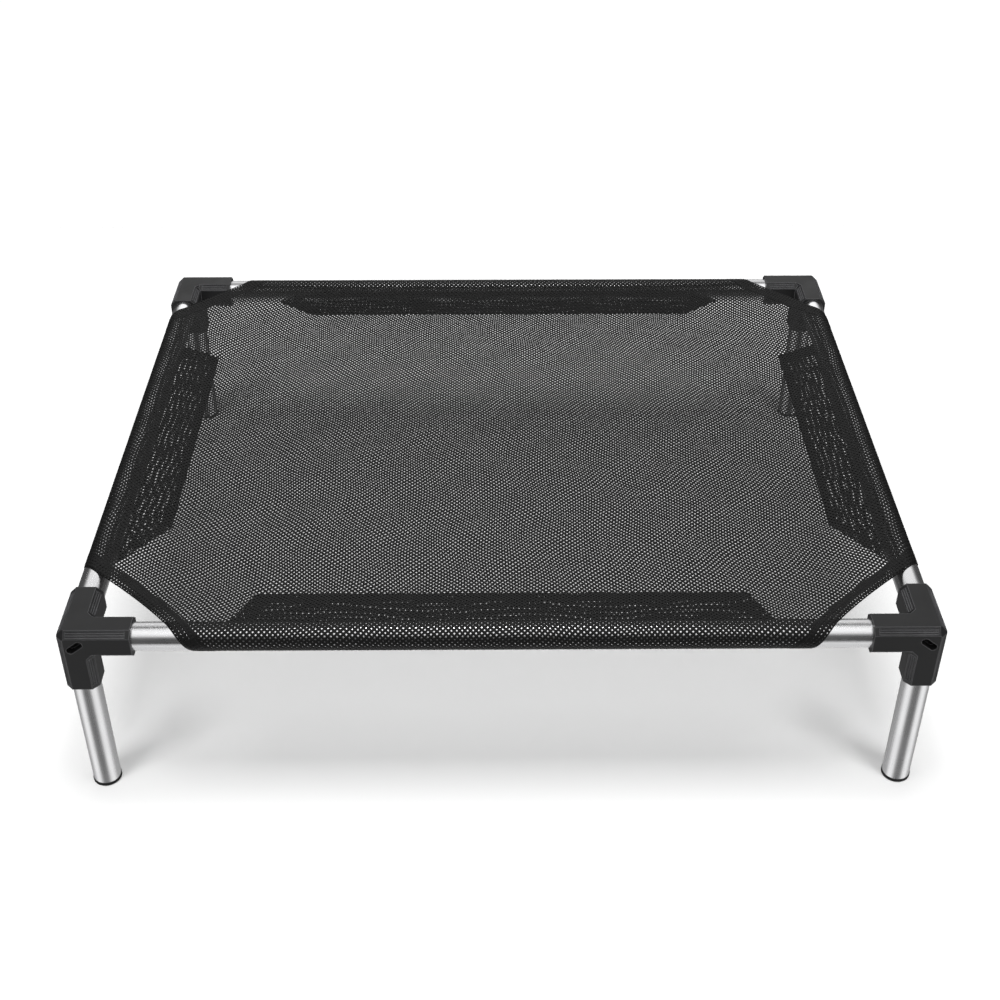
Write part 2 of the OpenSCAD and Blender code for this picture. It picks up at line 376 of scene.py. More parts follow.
@dataclass(frozen=True)
class BondedThread:
    """Black bonded polyester sewing thread.

    The eye sees short raised stitches, a shade lighter and shinier than the mesh.
    """

    name: str = "bonded_thread"
    tone: str = "#2b2b2d"
    twist_mm: float = 0.6  # one turn of the plies
    roughness: tuple[float, float] = (0.3, 0.6)
    relief: tuple[float, float] = (0.4, 0.05 * MM)  # strength and depth of the twist

    def build(self) -> bpy.types.Material:
        """Makes the material.

        Returns:
            The material.
        """
        made, tree, shader = new_material(self.name)
        place = add_node(tree, "ShaderNodeTexCoord").outputs["Object"]
        turns = {"Vector": place, "Scale": 1 / (self.twist_mm * MM), "Detail": 1.0}
        twist = add_node(tree, "ShaderNodeTexNoise", turns)
        gloss = add_node(tree, "ShaderNodeMapRange", (twist, 0.0, 1.0, *self.roughness))
        strength, depth = self.relief
        relief = add_node(tree, "ShaderNodeBump", {"Height": twist, "Strength": strength, "Distance": depth})
        feed(shader, {"Base Color": linear(self.tone), "Roughness": gloss, "Normal": relief})
        return made


# ---------------------------------------------------------------------------------------------
# Studio
# ---------------------------------------------------------------------------------------------


@dataclass(frozen=True)
class Softbox:
    """One rectangular soft light: its place, what it points at, its size and its power in watts."""

    name: str
    place: tuple[float, float, float]
    aim: tuple[float, float, float]
    width: float
    height: float
    power: float

    def build(
        self, only: bpy.types.Object | None = None, shadows: Sequence[bpy.types.Object] = ()
    ) -> bpy.types.Object:
        """Makes the light.

        Args:
            only: the one object that it lights, where it doesn't light them all.
            shadows: the objects that throw its shadow, where not all do.

        Returns:
            The light.
        """
        lamp = bpy.data.lights.new(self.name, "AREA")
        lamp.shape = "RECTANGLE"
        lamp.size, lamp.size_y, lamp.energy = self.width, self.height, self.power
        made = bpy.data.objects.new(self.name, lamp)
        made.location = self.place
        made.rotation_euler = (Vector(self.aim) - Vector(self.place)).to_track_quat("-Z", "Y").to_euler()
        bpy.context.scene.collection.objects.link(made)
        if only:
            made.light_linking.receiver_collection = bpy.data.collections.new(f"lit_by_{self.name}")
            made.light_linking.receiver_collection.objects.link(only)
        if shadows:
            made.light_linking.blocker_collection = bpy.data.collections.new(f"in_front_of_{self.name}")
            for thing in shadows:
                made.light_linking.blocker_collection.objects.link(thing)
        return made


@dataclass(frozen=True)
class Glow:
    """A soft round patch of light or shade in the room, as the tubes mirror it."""

    azimuth: float  # degrees from the front, to the right
    elevation: float  # degrees above the horizon
    core: float  # degrees from its middle to where it starts to fade
    rim: float  # degrees from its middle to where it is gone
    strength: float

    @property
    def towards(self) -> tuple[float, float, float]:
        """Unit direction of its middle."""
        turn, rise = math.radians(self.azimuth), math.radians(self.elevation)
        return math.sin(turn) * math.cos(rise), -math.cos(turn) * math.cos(rise), math.sin(rise)


@dataclass
class Studio:
    """The white table, the soft lights, the room and the camera."""

    lens_mm: float = 53.574
    sensor_mm: float = 36.0
    clip: tuple[float, float] = (0.05, 100.0)
    eye: tuple[float, float, float] = (-0.010353, -1.527705, 1.240092)
    pitch_deg: float = 36.536
    yaw_deg: float = -0.390
    roll_deg: float = 0.0157
    floor_half: float = 1.0
    floor_tone: str = "#6c6c6c"
    floor_glow: tuple[float, float] = (0.13, 0.3)  # painted glow of the table: lower under the bed as painted shade, and higher far from it
    glow_turns: tuple[float, float] = (0.62, 0.95)  # from its middle, where one turns into the other
    backdrop: float = 1.03  # brightness of the white that the camera sees
    room: float = 0.07  # brightness of the room where nothing glows
    glows: tuple[Glow, ...] = (
        Glow(0, 67, 10, 48, 1.10),  # the big softbox over the camera
        Glow(180, 30, 12, 38, 0.75),  # the white wall behind
        Glow(-62, -22, 6, 40, 0.75),  # the strips at the left and right
        Glow(62, -22, 6, 40, 0.75),
        Glow(0, -88, 20, 66, 0.62),  # the table itself
    )
    shade: Glow = Glow(0, -34, 12, 33, 0.66)  # the dark end of the room, behind the camera
    # The ceiling and side lamps light only the table: one throws the bed's soft shadow on it, and
    # the others those of the legs. The kicker lifts the front rail's lower half, and the
    # backlights the side rails, which show through the mesh.
    overhead: Softbox = Softbox("overhead", (0.0, 0.05, 2.5), (0.0, 0.05, 0.0), 0.75, 0.75, 9.0)
    ceiling: Softbox = Softbox("ceiling", (0.0, -0.30, 4.5), (0.0, 0.0, 0.0), 1.9, 1.9, 660.0)
    beside: Softbox = Softbox("side", (2.1, -2.35, 4.28), (0.0, 0.0, 0.0), 1.4, 1.4, 500.0)  # the right one
    kicker: Softbox = Softbox("kicker", (0.0, -0.6, 0.01), (0.0, -0.37, 0.2), 1.0, 0.15, 0.27)
    backlight: Softbox = Softbox("backlight", (0.0, 1.8, 1.3), (0.0, 0.0, 0.2), 3.0, 0.8, 4.5)

    def build(self) -> None:
        """Makes the camera, the lights, the room and the floor."""
        self._camera()
        self.overhead.build()
        self._room()
        floor = self._floor()
        self.ceiling.build(only=floor)
        self.kicker.build(only=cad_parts["rail_front"])
        for side in Side:
            where = side.word
            x, y, z = self.beside.place
            lamp = replace(self.beside, name=f"side_{where}", place=(side.value * x, y, z))
            legs = [f"{part}_{end.word}_{where}" for part in ("leg", "foot") for end in End]
            lamp.build(only=floor, shadows=[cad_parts[leg] for leg in legs])
            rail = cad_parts[f"rail_{where}"]
            replace(self.backlight, name=f"backlight_{where}").build(only=rail, shadows=[rail])

    def _camera(self) -> None:
        """Sets the camera at the product view."""
        lens = bpy.data.cameras.new("product_view")
        lens.lens, lens.sensor_width = self.lens_mm, self.sensor_mm
        lens.clip_start, lens.clip_end = self.clip
        made = bpy.data.objects.new("product_view", lens)
        made.matrix_world = (
            Matrix.Translation(self.eye)
            @ Matrix.Rotation(math.radians(self.yaw_deg), 4, "Z")
            @ Matrix.Rotation(math.pi / 2 - math.radians(self.pitch_deg), 4, "X")
            @ Matrix.Rotation(math.radians(self.roll_deg), 4, "Z")
        )
        bpy.context.scene.collection.objects.link(made)
        bpy.context.scene.camera = made

    @staticmethod
    def _lobe(tree: bpy.types.NodeTree, ray: bpy.types.NodeSocket, glow: Glow) -> bpy.types.Node:
        """Draws one glow in the room.

        Args:
            tree: the room's node tree.
            ray: the direction that is looked along.
            glow: the glow.

        Returns:
            The node that gives its strength along the ray.
        """
        facing = add_node(tree, "ShaderNodeVectorMath", (ray, glow.towards), operation="DOT_PRODUCT")
        faded = {
            "Value": facing.outputs["Value"],
            "From Min": math.cos(math.radians(glow.rim)),
            "From Max": math.cos(math.radians(glow.core)),
            "To Max": glow.strength,
        }
        return add_node(tree, "ShaderNodeMapRange", faded, interpolation_type="SMOOTHSTEP")

    def _room(self) -> None:
        """Makes the room: white where it is looked at, and soft patches of light that the tubes mirror."""
        room = bpy.data.worlds.new("studio_room")
        room.use_nodes = True
        tree = room.node_tree
        ray = add_node(tree, "ShaderNodeTexCoord").outputs["Generated"]
        total = self.room
        for glow in self.glows:
            lobe = self._lobe(tree, ray, glow)
            total = add_node(tree, "ShaderNodeMath", (lobe, total), operation="ADD")
        shaded = self._lobe(tree, ray, self.shade)
        left = add_node(tree, "ShaderNodeMath", (1.0, shaded), operation="SUBTRACT")
        lit = add_node(tree, "ShaderNodeMath", (total, left), operation="MULTIPLY")
        dim, white = (
            add_node(tree, "ShaderNodeBackground", {"Color": linear("#ffffff"), "Strength": strength})
            for strength in (lit, self.backdrop)
        )
        seen = add_node(tree, "ShaderNodeLightPath").outputs["Is Camera Ray"]
        feed(tree.nodes["World Output"], [add_node(tree, "ShaderNodeMixShader", (seen, dim, white))])
        bpy.context.scene.world = room

    def _floor(self) -> bpy.types.Object:
        """Makes the lit white table, clear from below. It has a painted glow of its own, dimmed under the
        bed as painted shade and overexposed away from it.

        In mirrors the room stands in for it.

        Returns:
            The table top.
        """
        bm = bmesh.new()
        bmesh.ops.create_grid(bm, x_segments=1, y_segments=1, size=self.floor_half)
        floor = mesh_object("studio_floor", bm, smooth=False)
        made, tree, shader = new_material("lit_white_table")
        tree.nodes.remove(shader)
        matt = add_node(tree, "ShaderNodeBsdfDiffuse", {"Color": linear(self.floor_tone)})
        spot = add_node(tree, "ShaderNodeTexCoord").outputs["Object"]
        # The table's own painted glow: dimmer round its middle, under the bed, as painted shade, and
        # brighter away from it.
        away = add_node(tree, "ShaderNodeVectorMath", [spot], operation="LENGTH").outputs["Value"]
        glow_dimmed_under_bed = (away, *self.glow_turns, *self.floor_glow)
        strength = add_node(tree, "ShaderNodeMapRange", glow_dimmed_under_bed, interpolation_type="SMOOTHSTEP")
        glow = add_node(tree, "ShaderNodeEmission", {"Color": linear("#ffffff"), "Strength": strength})
        both = add_node(tree, "ShaderNodeAddShader", (matt, glow))
        clear = add_node(tree, "ShaderNodeBsdfTransparent")
        under = add_node(tree, "ShaderNodeNewGeometry").outputs["Backfacing"]
        one_sided = add_node(tree, "ShaderNodeMixShader", (under, both, clear))
        feed(tree.nodes["Material Output"], [one_sided])
        floor.data.materials.append(made)
        floor.visible_glossy = floor.visible_diffuse = floor.visible_shadow = False
        return floor


# ---------------------------------------------------------------------------------------------
# Frame
# ---------------------------------------------------------------------------------------------


@dataclass
class TubeFrame:
    """The rigid half of the bed: tubes, corner connectors and foot caps, all modelled in the CAD."""

    corners: tuple[str, ...] = ("front_left", "front_right", "rear_left", "rear_right")

    def dress(self) -> None:
        """Gives every rigid node its finish."""
        nylon, rubber = MouldedNylon().build(), FootRubber().build()
        metal = {axis: AnodisedAluminium(axis).build() for axis in Axis}
        for corner in self.corners:
            self._finish(f"connector_{corner}", nylon)
            self._finish(f"leg_{corner}", metal[Axis.Z])
            self._finish(f"foot_{corner}", rubber)
        for rail, axis in (("front", Axis.X), ("rear", Axis.X), ("left", Axis.Y), ("right", Axis.Y)):
            self._finish(f"rail_{rail}", metal[axis])

    def _finish(self, node: str, material: bpy.types.Material) -> None:
        """Puts a material in every slot of a node.

        Args:
            node: the node's name.
            material: its finish.
        """
        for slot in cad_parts[node].material_slots:
            slot.material = material
        LOG.info("%s: %s", node, material.name)


# ---------------------------------------------------------------------------------------------
# Cover
# ---------------------------------------------------------------------------------------------


@dataclass
class CoverShape:
    """Where the cloth runs in space.

    The cloth is described on a flat chart. Inside the rails the chart is the plan of the bed. Past
    the line where the cloth meets a rail, it is the length of cloth round the rail and back along
    the sleeve's under side.
    """

    cloth_r: float = 15.5 * MM  # middle of the cloth round a rail
    seam_in: float = 67.0 * MM  # from the middle of a rail to its seam
    turned_in: float = 11.0 * MM  # cloth folded back under the seam
    turned_low: float = 0.9 * MM  # how far that lies under the leaf
    cut_along_x: float = 95.0 * MM  # from a corner of the rails' middles to the ends of its cut
    cut_along_y: float = 90.0 * MM
    rear_share: float = 0.87  # of those cuts at the rear, where the hems lie further out
    slant_x: float = math.tan(math.radians(35.0))  # slant of the front sleeve's ends
    slant_y: float = math.tan(math.radians(38.5))  # and of the side sleeves' front ends
    hem_drop: float = 2.6 * MM  # how far a front hem hangs below the rail tops half way
    hem_slope: float = 108.0 * MM  # how far in from a hem its slope is first drawn
    sag: float = 1.5 * MM  # in the middle of the deck
    cell: float = 9.0 * MM  # of the grid that the heights are kept on
    relax_rounds: int = 90  # of smoothing
    _heights: dict[tuple[int, int], float] = field(default_factory=dict)

    def __post_init__(self) -> None:
        """Takes the rails' places from the model and relaxes the cloth."""
        low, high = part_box("rail_right")
        self.rail_x, self.rail_z = (low.x + high.x) / 2, (low.z + high.z) / 2
        low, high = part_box("rail_rear")
        self.rail_y = (low.y + high.y) / 2
        self.lean = math.asin(self.cloth_r / self.seam_in)
        self.wrap = self.cloth_r * (math.pi + 2 * self.lean)  # cloth on the rail
        self.straight = self.seam_in * math.cos(self.lean)  # from the rail to the seam
        self.touch = self.cloth_r * math.sin(self.lean)  # how far inside the rail's middle it touches
        self.edge_x, self.edge_y = self.rail_x - self.touch, self.rail_y - self.touch
        self.high = self.cloth_r * math.cos(self.lean)
        self.seam_end_x = self._seam_end(self.rail_x - self.cut_along_x, self.slant_x)
        self.seam_end_y = self._seam_end(self.rail_y - self.cut_along_y, self.slant_y)
        share = (self.rail_x - self.seam_end_x) / self.cut_along_x + self.seam_in / self.cut_along_y
        self.fold_end_y = self.rail_y - self.cut_along_y * (share - self.seam_in / self.cut_along_x)
        self._relax()

    def _seam_end(self, start: float, slant: float) -> float:
        """Half the length of a pocket's seam, from half its sleeve's length on top of the rail."""
        return start - slant * (self.turn - self.over)

    @property
    def over(self) -> float:
        """Chart distance from the touch line to the top of a rail."""
        return self.cloth_r * self.lean

    @property
    def turn(self) -> float:
        """Chart distance from the touch line to the seam, round the rail."""
        return self.wrap + self.straight

    def cut(self, end: End) -> Point:
        """Lengths along x and y of the cuts at one end's corners."""
        share = self.rear_share if end is End.REAR else 1.0
        return self.cut_along_x * share, self.cut_along_y * share

    def cut_distance(self, x: float, y: float) -> float:
        """How far a point lies inside its corner cut, in plan.

        Args:
            x: place across the bed.
            y: place along the bed.

        Returns:
            The distance, negative outside the cut.
        """
        along_x, along_y = self.cut(End.REAR if y > 0 else End.FRONT)
        run = (self.rail_x - abs(x)) / along_x + (self.rail_y - abs(y)) / along_y
        return (run - 1) / math.hypot(1 / along_x, 1 / along_y)

    def _draped(self, x: float, y: float) -> tuple[float, bool]:
        """First height of the cloth above the rail's middle, and whether it is held there.

        Args:
            x: place across the bed.
            y: place along the bed.

        Returns:
            The height and True where a rail, a seam or the hem holds the cloth.
        """
        in_x, in_y = self.rail_x - abs(x), self.rail_y - abs(y)
        slope = math.tan(self.lean)
        inside = self.cut_distance(x, y)
        if inside <= 0:
            share = max(0.0, min(1.0, in_x / self.cut_along_x))
            drop = 0.0 if y > 0 else self.hem_drop
            return self.high - 4 * drop * share * (1 - share), True
        if min(in_x, in_y) <= self.touch + TOUCHING:
            return self.high, True
        side_seam = abs(y) < self.seam_end_y and abs(in_x - self.seam_in) < self.cell / 2
        cross_seam = abs(x) < self.seam_end_x and abs(in_y - self.seam_in) < self.cell / 2
        if side_seam or cross_seam:
            return 0.0, True
        towards_hem = self.high * (1 - inside / self.hem_slope)
        planes = [0.0, (self.seam_in - in_x) * slope, (self.seam_in - in_y) * slope, towards_hem]
        return min(self.high, max(planes)), False

    def _relax(self) -> None:
        """Settles the cloth between its rails, seams and hems, as a taut skin."""
        nx, ny = round(2 * self.edge_x / self.cell), round(2 * self.edge_y / self.cell)
        self.step_x, self.step_y = 2 * self.edge_x / nx, 2 * self.edge_y / ny
        bm = bmesh.new()
        spread = Matrix.Diagonal((self.edge_x, self.edge_y, 1.0, 1.0))
        bmesh.ops.create_grid(bm, x_segments=nx, y_segments=ny, size=1.0, matrix=spread)
        loose = []
        for vert in bm.verts:
            vert.co.z, held = self._draped(vert.co.x, vert.co.y)
            if not held:
                loose.append(vert)
        for _ in range(self.relax_rounds):
            bmesh.ops.smooth_vert(bm, verts=loose, factor=0.5, use_axis_z=True)
        for vert in bm.verts:
            column = round((vert.co.x + self.edge_x) / self.step_x)
            row = round((vert.co.y + self.edge_y) / self.step_y)
            self._heights[column, row] = vert.co.z
        self.cells = nx, ny
        bm.free()

    def height(self, x: float, y: float) -> float:
        """Height of the cloth's upper layer above the rail's middle.

        Args:
            x: place across the bed.
            y: place along the bed.

        Returns:
            The height, read between the relaxed points.
        """
        fx = min(max((x + self.edge_x) / self.step_x, 0.0), self.cells[0])
        fy = min(max((y + self.edge_y) / self.step_y, 0.0), self.cells[1])
        i, j = min(int(fx), self.cells[0] - 1), min(int(fy), self.cells[1] - 1)
        fx, fy = fx - i, fy - j
        near = self._heights[i, j] * (1 - fx) + self._heights[i + 1, j] * fx
        far = self._heights[i, j + 1] * (1 - fx) + self._heights[i + 1, j + 1] * fx
        dip = self.sag * math.cos(math.pi / 2 * min(1.0, abs(x) / self.edge_x))
        dip *= math.cos(math.pi / 2 * min(1.0, abs(y) / self.edge_y))
        return near * (1 - fy) + far * fy - dip

    def round_rail(self, past: float) -> tuple[float, float, float, float]:
        """Follows the cloth round a rail and back to the seam.

        Args:
            past: chart distance from the line where the upper layer meets the rail.

        Returns:
            Distance inwards from the rail's middle, height above it, and the cloth's outward
            direction as its inward and upward parts.
        """
        if past > self.turn:
            inward, up, lean, lift = self.round_rail(2 * self.turn - past)
            return inward + self.turned_low * lean, up + self.turned_low * lift, lean, lift
        angle = math.pi / 2 - self.lean + min(past, self.wrap) / self.cloth_r
        run = max(0.0, past - self.wrap)  # on the flat, past the rail
        lean, lift = math.cos(angle), math.sin(angle)
        return self.cloth_r * lean - run * lift, self.cloth_r * lift + run * lean, lean, lift

    def place(self, spot: Vector) -> Vector:
        """Takes a point of the flat chart to its place on the bed.

        Args:
            spot: chart place, with the distance off the cloth as its z.

        Returns:
            The place in the model's frame.
        """
        x, y, off = spot
        if abs(y) > self.edge_y:
            inward, up, lean, lift = self.round_rail(abs(y) - self.edge_y)
            y = math.copysign(self.rail_y - inward - off * lean, y)
        elif abs(x) > self.edge_x:
            inward, up, lean, lift = self.round_rail(abs(x) - self.edge_x)
            x = math.copysign(self.rail_x - inward - off * lean, x)
        else:
            up, lift = self.height(x, y), 1.0
        return Vector((x, y, self.rail_z + up + off * lift))


@dataclass(frozen=True)
class MeshWeave:
    """The open mesh: holes on a square grid, which stands at 45 degrees to the rails on the deck."""

    pitch: float = 4.25 * MM  # from hole to hole
    strand: float = 2.25 * MM  # width of yarn between two holes
    crown: float = 0.25 * MM  # from the middle of the cloth up to the ridge of a strand
    relief: float = 0.2 * MM  # from there down to the rim of a hole
    wall: float = 0.5 * MM  # depth of a hole
    turn_deg: float = 45.0
    stretch: Point = (1.0, 1.0)  # along the chart's x and y
    wave: float = 2.2 * MM  # how far the rows of holes wander
    wave_length: float = 160.0 * MM

    def flat(self, outline: Sequence[Point]) -> bmesh.types.BMesh:
        """Makes flat mesh with its holes in step with the whole cover.

        Args:
            outline: corners of a convex patch on the chart, in order.

        Returns:
            The mesh over the patch and a little beyond it.
        """
        turn = Matrix.Rotation(math.radians(self.turn_deg), 2)
        shrunk = [Vector((x / self.stretch[0], y / self.stretch[1])) for x, y in outline]
        turned = [turn.transposed() @ p for p in shrunk]
        lows = [math.floor(min(p[i] for p in turned) / self.pitch) - 1 for i in (0, 1)]
        highs = [math.ceil(max(p[i] for p in turned) / self.pitch) + 1 for i in (0, 1)]
        count = max(highs[i] - lows[i] for i in (0, 1))
        half = count * self.pitch / 2
        middle = turn @ Vector([lows[i] * self.pitch + half for i in (0, 1)])
        grid = Matrix.Translation((middle.x, middle.y, self.crown)) @ turn.to_4x4()
        bm = bmesh.new()
        bmesh.ops.create_grid(bm, x_segments=count, y_segments=count, size=half, matrix=grid)
        bmesh.ops.scale(bm, vec=(*self.stretch, 1.0), verts=bm.verts)
        sides = list(zip(outline, (*outline[1:], outline[0])))
        margin = self.pitch + 2 * self.wave
        middles = ((f, f.calc_center_median()) for f in bm.faces)
        away = [f for f, spot in middles if any(self._beyond(spot, a, b) > margin for a, b in sides)]
        bmesh.ops.delete(bm, geom=away, context="FACES")
        holes = list(bm.faces)
        bmesh.ops.inset_individual(
            bm, faces=holes, thickness=self.strand / 2, depth=-self.relief, use_even_offset=True
        )
        caps = bmesh.ops.extrude_discrete_faces(bm, faces=holes)["faces"]
        bmesh.ops.translate(bm, vec=(0.0, 0.0, -self.wall), verts=[v for cap in caps for v in cap.verts])
        bmesh.ops.delete(bm, geom=caps, context="FACES")
        for vert in bm.verts:
            vert.co.xy += self._wander(vert.co.x, vert.co.y)
        return bm

    def _wander(self, x: float, y: float) -> Vector:
        """Lets the rows of holes stray in slow waves, whose numbers only keep them out of step.

        Args:
            x: place along the chart's x.
            y: place along the chart's y.

        Returns:
            How far the cloth strays there.
        """
        turns = 2 * math.pi / self.wave_length
        return self.wave * Vector((
            math.sin(turns * y + 0.6) + 0.5 * math.sin(turns * (1.7 * x + 1.3 * y)),
            math.sin(turns * 0.8 * x + 1.1) + 0.5 * math.sin(turns * (1.5 * x - 1.9 * y) + 2.0),
        ))

    @staticmethod
    def _beyond(spot: Vector, a: Point, b: Point) -> float:
        """How far a spot lies outside the side from a to b of an outline that turns left."""
        along = Vector(b) - Vector(a)
        return ((spot.x - a[0]) * along.y - (spot.y - a[1]) * along.x) / along.length

    def trim(self, bm: bmesh.types.BMesh, outline: Sequence[Point]) -> None:
        """Cuts flat mesh to an outline.

        Args:
            bm: the mesh.
            outline: corners of a convex patch that turns left.
        """
        for a, b in zip(outline, (*outline[1:], outline[0])):
            along = Vector(b) - Vector(a)
            bmesh.ops.bisect_plane(
                bm,
                geom=[*bm.verts, *bm.edges, *bm.faces],
                dist=CUTTING,
                plane_co=(a[0], a[1], 0.0),
                plane_no=(along.y, -along.x, 0.0),
                clear_outer=True,
            )


Patch = tuple[MeshWeave, Sequence[Point]]  # with its corners on the chart, in order
Placing = Callable[[Vector], Vector]  # takes a point of the chart to its place on the bed


def lay_cloth(
    name: str, parts: Iterable[Patch], place: Placing, fold: tuple[Point, Point] | None = None
) -> bpy.types.Object:
    """Makes a piece of mesh cloth from one or more patches.

    Args:
        name: the piece's name.
        parts: the weave and the outline of each patch: convex, turning left, and sharing sides.
        place: takes a point of the chart to its place on the bed.
        fold: a point of the line that the cloth is folded on, and the direction across it.

    Returns:
        The piece, with the chart as its UV map in metres.
    """
    whole = bmesh.new()
    for weave, outline in parts:
        part = weave.flat(outline)
        weave.trim(part, outline)
        carried = bpy.data.meshes.new("carried")
        part.to_mesh(carried)
        part.free()
        whole.from_mesh(carried)
        bpy.data.meshes.remove(carried)
    if fold:
        everything = [*whole.verts, *whole.edges, *whole.faces]
        spot, across = ((*part, 0.0) for part in fold)
        bmesh.ops.bisect_plane(whole, geom=everything, dist=CUTTING, plane_co=spot, plane_no=across)
    bmesh.ops.remove_doubles(whole, verts=whole.verts, dist=TOUCHING)
    chart = whole.loops.layers.uv.new(CLOTH_MAP)
    for face in whole.faces:
        for loop in face.loops:
            loop[chart].uv = loop.vert.co.xy
    for vert in whole.verts:
        vert.co = place(vert.co)
    return mesh_object(name, whole)


@dataclass
class CornerCut:
    """The cover's cut across the corners of one end.

    Its points lie on the chart of the rear right quarter, which the other quarters mirror.
    """

    shape: CoverShape
    end: End
    tucked: float = 13.0 * MM  # how far in from the edge the single cloth starts, under the hem

    def __post_init__(self) -> None:
        """Works out its points."""
        s = self.shape
        along_x, along_y = s.cut(self.end)
        self.past = s.turn - s.over
        self.top = Vector((s.rail_x - along_x, s.edge_y + s.over))
        self.side = Vector((s.edge_x + s.over, s.rail_y - along_y))
        self.slant_x = (self.top.x - s.seam_end_x) / self.past
        self.slant_y = (self.side.y - s.seam_end_y) / self.past
        self.cross_fold = Vector((s.seam_end_x, s.rail_y - s.seam_in))
        self.side_fold = Vector((s.rail_x - s.seam_in, s.fold_end_y))
        part = self.tucked / s.cut_distance(self.cross_fold.x, self.end.value * self.cross_fold.y)
        self.top_tuck = self.top.lerp(self.cross_fold, part)
        self.side_tuck = self.side.lerp(self.side_fold, part)

    def sleeve_end(self, cross: bool) -> list[Point]:
        """Follows the end of a sleeve from its fold up to the rail, round it and back to the seam.

        Args:
            cross: True for the cross rail's sleeve. A side rail's comes with x and y swapped.

        Returns:
            Its points, at the fold, the hem, the rail's top, the rail's under side, the seam and
            the end of the turned-in cloth.
        """
        top, tuck, fold, slant = self.top, self.top_tuck, self.cross_fold, self.slant_x
        if not cross:
            top, tuck, fold, slant = self.side.yx, self.side_tuck.yx, self.side_fold.yx, self.slant_y
        reach = top.x - self.tucked * math.hypot(1.0, slant)
        under = self.shape.wrap - self.shape.over
        return [
            (fold.x, fold.y),
            (tuck.x, tuck.y),
            (reach, top.y),
            (reach - slant * under, top.y + under),
            (reach - slant * self.past, top.y + self.past),
            (reach - slant * (self.past - self.shape.turned_in), top.y + self.past + self.shape.turned_in),
        ]


@dataclass
class HemLine:
    """The edge of the cover round one corner, as it runs on the chart of the rear right quarter.

    It starts in the turned-in edge of the cross sleeve, comes up round the cross rail, crosses the
    corner, and goes down round the side rail into the turned-in edge of the side sleeve.
    """

    cut: CornerCut
    bow: float = 4.5 * MM  # how far a front hem is drawn inwards half way
    step: float = 2.0 * MM  # between its points
    soften: int = 40  # rounds of smoothing

    def __post_init__(self) -> None:
        """Works out the line's points, and the direction inwards at each."""
        top, side, past = self.cut.top, self.cut.side, self.cut.past
        past += self.cut.shape.turned_in
        first = top + Vector((-self.cut.slant_x, 1.0)) * past
        last = side + Vector((1.0, -self.cut.slant_y)) * past
        inwards = (side - top).orthogonal().normalized()
        bow = (inwards if inwards.x < 0 else -inwards) * (self.bow if self.cut.end is End.FRONT else 0.0)
        points = self._run(first, top) + self._run(top, side, bow) + self._run(side, last) + [last]
        for _ in range(self.soften):
            inner = [(a + 2 * b + c) / 4 for a, b, c in zip(points, points[1:], points[2:])]
            points = [points[0], *inner, points[-1]]
        self.points = points
        ahead = [(b - a).normalized() for a, b in zip(points, points[1:])]
        ahead.append(ahead[-1])
        self.inwards = [Vector((d.y, -d.x)) for d in ahead]
        self.length = sum((b - a).length for a, b in zip(points, points[1:]))

    def _run(self, start: Vector, end: Vector, bow: Vector = Vector((0.0, 0.0))) -> list[Vector]:
        """Points along one stretch.

        Args:
            start: where it starts.
            end: where it ends, which isn't among the points.
            bow: how far and which way it bows half way.

        Returns:
            The points.
        """
        count = round((end - start).length / self.step)
        return [start.lerp(end, i / count) + bow * 4 * (i / count) * (1 - i / count) for i in range(count)]

    def at(self, run: float, inward: float) -> Point:
        """A point beside the line.

        Args:
            run: distance along the line from its start.
            inward: distance from the line into the cloth.

        Returns:
            The point's chart place.
        """
        spot = min(max(run / self.length, 0.0), 1.0) * (len(self.points) - 1)
        i = min(int(spot), len(self.points) - 2)
        part = spot - i
        across = self.inwards[i].lerp(self.inwards[i + 1], part)
        point = self.points[i].lerp(self.points[i + 1], part) + across * inward
        return point.x, point.y


@dataclass(frozen=True)
class Lockstitch:
    """Rows of sewing thread on the cloth: short stitches that stand a little proud of it."""

    stitch: float = 3.0 * MM  # length of thread that shows
    gap: float = 0.9 * MM  # from one stitch to the next
    thread: float = 0.6 * MM
    wander: float = 0.15 * MM  # how far a stitch strays from its row

    def sew(self, bm: bmesh.types.BMesh, row: Sequence[Vector], place: Placing, off: float) -> None:
        """Sews one row.

        Args:
            bm: takes the stitches.
            row: chart points of the row, close together.
            place: takes a point of the chart to its place on the bed.
            off: height of the cloth's surface over its middle.
        """
        chance = random.Random(round(row[0].x * 1e6))  # each row has its own run of strays
        left = 0.0
        for a, b in zip(row, row[1:]):
            ahead = (b - a).normalized()
            while left < (b - a).length:
                stray = Vector((-ahead.y, ahead.x)) * chance.uniform(-self.wander, self.wander)
                self._one(bm, a + ahead * left + stray, ahead, place, off)
                left += self.stitch + self.gap
            left -= (b - a).length

    def _one(self, bm: bmesh.types.BMesh, spot: Vector, ahead: Vector, place: Placing, off: float) -> None:
        """Makes one stitch.

        Args:
            bm: takes the stitch.
            spot: its middle on the chart.
            ahead: the direction of its row on the chart.
            place: takes a point of the chart to its place on the bed.
            off: height of the cloth's surface over its middle.
        """
        raised = Vector((0.0, 0.0, off))
        ends = [place((spot + ahead * self.stitch * part).to_3d() + raised) for part in (-0.5, 0.5)]
        above = place(spot.to_3d() + raised + Vector((0.0, 0.0, MM)))
        middle = (ends[0] + ends[1]) / 2
        along = (ends[1] - ends[0]) / 2
        up = (above - middle).normalized()
        aside = along.normalized().cross(up) * self.thread / 2
        shape = Matrix((along, aside, up * self.thread / 2)).transposed().to_4x4()
        shape.translation = middle
        bmesh.ops.create_icosphere(bm, subdivisions=1, radius=1.0, matrix=shape)


